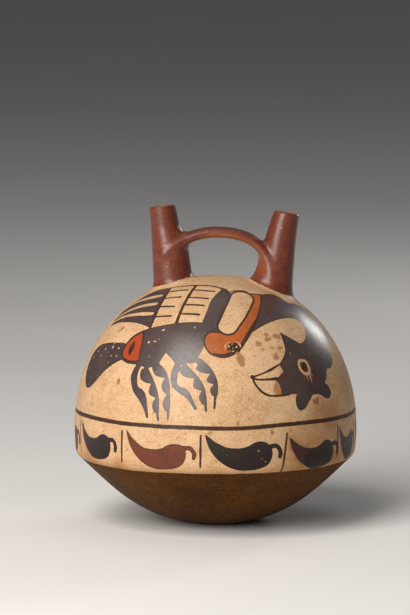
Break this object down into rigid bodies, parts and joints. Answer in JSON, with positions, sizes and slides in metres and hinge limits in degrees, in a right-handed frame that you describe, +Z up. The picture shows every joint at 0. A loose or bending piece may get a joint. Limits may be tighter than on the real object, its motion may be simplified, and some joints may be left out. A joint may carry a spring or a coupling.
{
  "type": "double-spout bridge bottle",
  "caption": "Hollow globular pottery bottle with leaning tubular spouts bridged by an arched strap handle, standing on a small flat spot under its rounded bowl.",
  "frame": {"origin": "centre of the flat spot the bottle stands on, on the body's turning axis", "axes": "+Z up along the body's turning axis; X runs through both spouts, the shorter one on +X; the painted bird's side faces -Y"},
  "size_m": [0.1558, 0.1558, 0.1757],
  "materials": {
    "painted_clay": "burnished earthenware painted in cream, black, red-brown and orange slips"
  },
  "bodies": {
    "root": {"body": "painted_clay", "spouts_and_handle": "painted_clay"}
  },
  "joints": []
}
